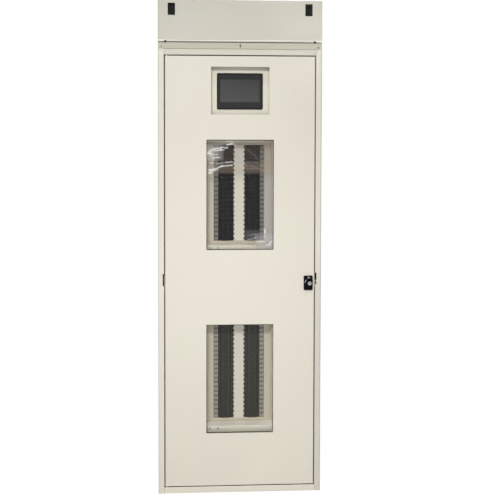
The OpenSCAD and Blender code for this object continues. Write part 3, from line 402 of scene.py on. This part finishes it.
finish = {
    "cabinet_paint": SHELL, "zinc_steel": ZINC, "breaker_black": BLACK, "terminal_grey": TERMINAL_UP,
    "bus_cover_plastic": BUS_COVER, "copper_bar": COPPER, "toggle_grey": TOGGLE,
    "screen_black": SCREEN_BLACK, "screen_glass": SCREEN_GLASS, "seal_rubber": RUBBER, "clear_pane": PANE,
    "clear_film": FILM, "latch_black": LATCH, "lock_chrome": PLUG, "frame_black": FRAME_BLACK,
}
own_finish = {
    "header_cover": HEADER_PAINT, "frame_rail_top": RAIL_PAINT, "header_rail": STRIP_PAINT,
    "strip_screws": DARK_SCREW, "latch_keeper": KEEPER, "upper_tray": TRAY_PAINT, "lower_tray": TRAY_PAINT,
    "lower_terminals": TERMINAL_LOW, "header_latches": HEADER_LATCH, "header_slide_left": HEADER_LATCH,
    "header_slide_right": HEADER_LATCH, "upper_breakers": BLACK_UP,
    "window_retainers": RETAINER, "door_stops": STOP_SHADE, "inner_panel": PANEL_PAINT,
    "door_panel": DOOR_PAINT, "screen_bezel": BEZEL, "frame_rail_bottom": RAIL_LOW_PAINT,
    "panel_screws": PANEL_SCREW, "frame_stile_left": STILE_LEFT, "frame_stile_right": STILE_RIGHT,
}
slot_of = {part["node"]: part["material_slot"] for part in model["record"]["subparts"]}
for name, piece in nodes.items():
    piece.data.materials.clear()
    piece.data.materials.append(own_finish.get(name, finish[slot_of[name]]))


def soften(piece, width):
    """Small round on every sharp edge, so that edges catch light."""
    weld = piece.modifiers.new("weld", "WELD")
    weld.merge_threshold = 0.00001
    bevel = piece.modifiers.new("round", "BEVEL")
    bevel.width = width
    bevel.segments = 2
    bevel.limit_method = "ANGLE"
    bevel.angle_limit = math.radians(40)
    bevel.harden_normals = True


for name, width in (("door_panel", 0.6), ("header_cover", 0.6), ("screen_bezel", 1.0),
                    ("latch_housing", 1.0), ("inner_panel", 0.4), ("upper_tray", 0.5),
                    ("lower_tray", 0.5), ("lock_plug", 0.4)):
    soften(nodes[name], width * MM)


# The clear film on the upper window: thin, loose and creased

# Creases as (start, bend, end, half width, whiteness), in millimetres across and up from the film's middle;
# the whiteness is a painted highlight along each crease
CREASES = (
    ((-135, 167), (-125, 168), (-115, 168), 2.8, 1.00),
    ((-130, 171), (-116, 182), (-100, 187), 4.5, 0.45),
    ((-108, 184), (-90, 189), (-62, 193), 2.6, 0.95),
    ((-108, 179), (-88, 179), (-64, 183), 2.8, 0.95),
    ((-84, 181), (-80, 186), (-77, 191), 2.0, 0.90),
    ((-64, 190), (-56, 191), (-49, 191), 2.8, 0.90),
    ((-62, 212), (-48, 222), (-24, 211), 2.2, 0.40),
    ((-56, 202), (-40, 204), (-29, 208), 2.8, 0.95),
    ((-29, 207), (-20, 200), (-14, 196), 2.5, 0.30),
    ((-128, 162), (-108, 163), (-85, 163), 2.0, 0.55),
    ((-114, 149), (-98, 151), (-82, 151), 2.5, 0.90),
    ((-116, 141), (-108, 142), (-100, 142), 2.0, 0.35),
    ((-124, 129), (-114, 130), (-104, 129), 3.0, 0.45),
    ((-101, 126), (-84, 128), (-66, 130), 2.0, 0.40),
    ((-62, 131), (-46, 133), (-28, 134), 2.2, 0.65),
    ((-80, 115), (-72, 117), (-66, 117), 3.0, 0.95),
    ((-68, 116), (-50, 118), (-28, 121), 2.4, 0.75),
    ((-102, 97), (-92, 112), (-70, 117), 3.4, 0.70),
    ((-128, 100), (-122, 102), (-116, 103), 3.0, 0.85),
    ((-128, 88), (-122, 88), (-114, 89), 2.8, 1.00),
    ((-124, 92), (-114, 99), (-99, 107), 4.2, 0.90),
    ((-26, 134), (20, 134), (76, 131), 1.8, 0.14),
    ((-26, 122), (16, 124), (78, 110), 2.2, 0.16),
    ((20, 108), (46, 104), (80, 106), 2.0, 0.12),
    ((24, 186), (48, 172), (76, 140), 2.4, 0.08),
    ((27, -183), (48, -180), (68, -172), 2.2, 0.35),
    ((28, -166), (56, -160), (78, -158), 2.6, 0.14),
    ((99, -138), (101, -148), (102, -158), 3.6, 0.60),
    ((98, -166), (99, -169), (100, -172), 3.0, 0.40),
    ((116, -200), (122, -196), (129, -188), 3.2, 0.70),
    ((68, -192), (82, -189), (98, -190), 3.4, 0.40),
    ((104, -205), (116, -203), (128, -206), 3.0, 0.40),
)
CREASE_WHITE = (0.98, 0.97, 0.94)
CREASE_THIN = 0.84
# Wide veils as (middle, half sizes, share, colour): brown over the upper part where the film is doubled,
# partly painted shade; white at the upper left, a painted highlight; cool grey at the right and grey at the
# lower right, painted reflections
PATCHES = (
    ((0, 160), (170, 80), 0.10, (0.20, 0.15, 0.12)),
    ((10, 110), (160, 26), 0.16, (0.36, 0.25, 0.15)),
    ((116, 160), (26, 78), 0.26, (0.30, 0.25, 0.21)),
    ((-104, 172), (40, 36), 0.14, CREASE_WHITE),
    ((117, -60), (26, 170), 0.38, (0.34, 0.34, 0.38)),
    ((100, -196), (46, 40), 0.26, (0.50, 0.48, 0.48)),
    ((62, -168), (54, 30), 0.10, (0.40, 0.38, 0.38)),
)


def make_housing_screw():
    """The round head above the collar on the latch housing."""
    housing_low, housing_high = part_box("latch_housing")
    radius, rise, sides = 5.5 * MM, 1.0 * MM, 32
    seat = housing_low[1] + 3.0 * MM
    middle = ((housing_low[0] + housing_high[0]) / 2 + 2.0 * MM, housing_high[2] - 8.0 * MM)
    rings = ((radius, seat + 0.2 * MM), (radius, seat - rise * 0.6), (radius * 0.8, seat - rise))
    points = []
    for ring_radius, depth in rings:
        for side in range(sides):
            turn = 2 * math.pi * side / sides
            points.append((middle[0] + ring_radius * math.cos(turn), depth,
                           middle[1] + ring_radius * math.sin(turn)))
    faces = [tuple(range(2 * sides, 3 * sides)), tuple(reversed(range(sides)))]
    for ring in range(2):
        for side in range(sides):
            ahead = (side + 1) % sides
            faces.append((ring * sides + side, ring * sides + ahead,
                          (ring + 1) * sides + ahead, (ring + 1) * sides + side))
    mesh = bpy.data.meshes.new("housing_screw")
    mesh.from_pydata(points, [], faces)
    mesh.materials.append(SCREW_GREY)
    screw = bpy.data.objects.new("housing_screw", mesh)
    scene.collection.objects.link(screw)
    bpy.context.view_layer.update()
    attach(screw, "door")


def blend_points(first, second, share):
    return tuple(a + (b - a) * share for a, b in zip(first, second))


def crease_line(start, bend, end, steps=24):
    """Points along the arc from start to end that leans towards the bend."""
    points = []
    for step in range(steps + 1):
        share = step / steps
        points.append(blend_points(blend_points(start, bend, share), blend_points(bend, end, share), share))
    return points


def crease_share(spots, line, half_width, strength):
    """Whiteness of one crease over all spots: full along its middle and fading out at its ends."""
    away = numpy.stack([numpy.hypot(spots[..., 0] - x, spots[..., 1] - z) for x, z in line])
    nearest = away.argmin(axis=0)
    along = nearest / (len(line) - 1)
    fade = 1 - (2 * along - 1) ** 6 * 0.8
    flicker = 0.82 + 0.18 * numpy.sin(19 * along + half_width * 40)
    return strength * fade * flicker * numpy.exp(-(away.min(axis=0) / half_width) ** 2)


def patch_share(spots, middle, half, strength):
    """Share of one veil over all spots: even inside and soft at its rim."""
    across = abs(spots[..., 0] - middle[0]) / half[0]
    upward = abs(spots[..., 1] - middle[1]) / half[1]
    aside = numpy.maximum(across, upward)
    return strength * numpy.clip((1 - aside) * 3.5, 0, 1)


def make_film():
    """A thin sheet over the upper pane, lifted along its creases, with painted highlights along them and
    painted shade and painted reflections in its veils.
    """
    low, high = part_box("window_film")
    width = high[0] - low[0]
    height = high[2] - low[2]
    columns, rows = 170, 280
    spots = numpy.stack(numpy.meshgrid(numpy.linspace(-0.5, 0.5, columns + 1) * width / MM,
                                       numpy.linspace(-0.5, 0.5, rows + 1) * height / MM), axis=-1)
    dice = numpy.random.default_rng(7)
    clear_share = numpy.ones(spots.shape[:2])
    weight = numpy.full(spots.shape[:2], 0.001)
    tone = numpy.full(spots.shape[:2] + (3,), 0.0005)
    lift = numpy.zeros(spots.shape[:2])
    for middle, half, strength, colour in PATCHES:
        share = patch_share(spots, middle, half, strength)
        clear_share *= 1 - share
        weight += share
        tone += share[..., None] * numpy.array(colour)
    for start, bend, end, half_width, strength in CREASES:
        share = crease_share(spots, crease_line(start, bend, end), CREASE_THIN * half_width, strength)
        lift += 1.4 * share
        share *= dice.uniform(0.75, 1.0, share.shape)
        clear_share *= 1 - share
        weight += 3 * share
        tone += 3 * share[..., None] * numpy.array(CREASE_WHITE)
    lift = numpy.clip(lift, 0, 1.4)
    points = numpy.stack([spots[..., 0] * MM, -lift * MM, spots[..., 1] * MM], axis=-1).reshape(-1, 3)
    faces = []
    for row in range(rows):
        for column in range(columns):
            first = row * (columns + 1) + column
            faces.append((first, first + 1, first + columns + 2, first + columns + 1))
    mesh = bpy.data.meshes.new("film_creased")
    mesh.from_pydata(points.tolist(), [], faces)
    mesh.polygons.foreach_set("use_smooth", [True] * len(faces))
    whiteness = numpy.clip(1 - clear_share, 0, 0.95).ravel()
    mesh.attributes.new("whiteness", "FLOAT", "POINT").data.foreach_set("value", whiteness)
    colours = numpy.ones((len(points), 4))
    colours[:, :3] = (tone / weight[..., None]).reshape(-1, 3)
    mesh.attributes.new("veil", "FLOAT_COLOR", "POINT").data.foreach_set("color", colours.ravel())
    film = bpy.data.objects.new("film_creased", mesh)
    scene.collection.objects.link(film)
    film.location = ((low[0] + high[0]) / 2, low[1], (low[2] + high[2]) / 2)
    mesh.materials.append(FILM)
    bpy.context.view_layer.update()
    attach(film, "door")
    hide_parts("window_film")


make_film()
make_housing_screw()


# Stage: white floor, white background, soft light and the photograph's camera

def seen_white(tree, lit, white):
    """Mix that shows the second input to the camera and to reflections and transmission."""
    path = add(tree, "ShaderNodeLightPath")
    first = add(tree, "ShaderNodeMath", operation="MAXIMUM")
    wire(tree, path.outputs["Is Camera Ray"], first.inputs[0])
    wire(tree, path.outputs["Is Glossy Ray"], first.inputs[1])
    second = add(tree, "ShaderNodeMath", operation="MAXIMUM")
    wire(tree, first.outputs[0], second.inputs[0])
    wire(tree, path.outputs["Is Transmission Ray"], second.inputs[1])
    mix = add(tree, "ShaderNodeMixShader")
    wire(tree, second.outputs[0], mix.inputs["Fac"])
    wire(tree, lit, mix.inputs[1])
    wire(tree, white, mix.inputs[2])
    return mix.outputs[0]


def make_world():
    world = bpy.data.worlds.new("studio")
    scene.world = world
    world.use_nodes = True
    tree = world.node_tree
    tree.nodes.clear()
    lit = add(tree, "ShaderNodeBackground")
    lit.inputs["Color"].default_value = (1.0, 1.0, 1.0, 1)
    lit.inputs["Strength"].default_value = 0.34
    white = add(tree, "ShaderNodeBackground")
    white.inputs["Color"].default_value = (1, 1, 1, 1)
    out = add(tree, "ShaderNodeOutputWorld")
    wire(tree, seen_white(tree, lit.outputs[0], white.outputs[0]), out.inputs["Surface"])


def make_floor():
    """A floor that looks white and still takes the object's shadow close to it."""
    mesh = bpy.data.meshes.new("floor")
    reach = 3.0
    mesh.from_pydata([(-reach, -reach, 0), (reach, -reach, 0), (reach, reach, 0), (-reach, reach, 0)], [],
                     [(0, 1, 2, 3)])
    floor = bpy.data.objects.new("floor", mesh)
    scene.collection.objects.link(floor)
    floor.location.z = -0.0005
    material, tree, shader = new_material("floor_white")
    shader.inputs["Base Color"].default_value = (0.6, 0.59, 0.57, 1)
    shader.inputs["Roughness"].default_value = 0.8
    glow = add(tree, "ShaderNodeEmission")
    glow.inputs["Strength"].default_value = 0.9
    shadowed = add(tree, "ShaderNodeBsdfDiffuse")
    shadowed.inputs["Color"].default_value = (0.22, 0.22, 0.22, 1)
    near = add(tree, "ShaderNodeAddShader")
    wire(tree, glow.outputs[0], near.inputs[0])
    wire(tree, shadowed.outputs[0], near.inputs[1])
    far = add(tree, "ShaderNodeEmission")
    place = add(tree, "ShaderNodeTexCoord")
    away = add(tree, "ShaderNodeVectorMath", operation="LENGTH")
    wire(tree, place.outputs["Object"], away.inputs[0])
    white = add(tree, "ShaderNodeMixShader")
    wire(tree, span(tree, away.outputs["Value"], 0.4, 0.9, 0.0, 1.0), white.inputs["Fac"])
    wire(tree, near.outputs[0], white.inputs[1])
    wire(tree, far.outputs[0], white.inputs[2])
    mixed = seen_white(tree, shader.outputs[0], white.outputs[0])
    wire(tree, mixed, tree.nodes["Material Output"].inputs["Surface"])
    mesh.materials.append(material)


def area_light(name, place, aim, width, height, power, spread):
    data = bpy.data.lights.new(name, "AREA")
    data.shape = "RECTANGLE"
    data.size = width
    data.size_y = height
    data.energy = power
    data.spread = math.radians(spread)
    light = bpy.data.objects.new(name, data)
    scene.collection.objects.link(light)
    light.location = place
    light.rotation_euler = (Vector(aim) - Vector(place)).to_track_quat("-Z", "Y").to_euler()


def make_camera():
    """The photograph's camera: three metres off, left of the middle, turned a little to the right."""
    yaw, pitch, roll = 0.05035, -0.03234, 0.00206
    forward = Vector((math.sin(yaw) * math.cos(pitch), math.cos(yaw) * math.cos(pitch), math.sin(pitch)))
    right = Vector((math.cos(yaw), -math.sin(yaw), 0))
    up = right.cross(forward)
    level = right.copy()
    right = level * math.cos(roll) + up * math.sin(roll)
    up = up * math.cos(roll) - level * math.sin(roll)
    data = bpy.data.cameras.new("camera")
    data.sensor_width = 36
    data.lens = 53.512
    data.shift_x = 0.0091
    data.shift_y = -0.1787
    data.clip_end = 100
    camera = bpy.data.objects.new("camera", data)
    scene.collection.objects.link(camera)
    turn = Matrix((right, up, -forward)).transposed().to_4x4()
    camera.matrix_world = Matrix.Translation((-0.128, -3.305, 1.455)) @ turn
    scene.camera = camera


make_world()
make_floor()
area_light("key", (-0.3, -3.3, 2.45), (0, -0.3, 0.6), 0.6, 0.4, 11.6, spread=85)
area_light("fill", (1.0, -3.0, 2.3), (0.33, -0.3, 1.95), 0.2, 0.2, 0.08, spread=13)
area_light("front", (-0.2, -3.8, 0.5), (0, -0.3, 0.3), 2.0, 1.2, 13.0, spread=120)
area_light("ceiling", (-1.0, -6.0, 10.0), (0, -0.3, 1.0), 1.6, 1.2, 10, spread=60)
make_camera()
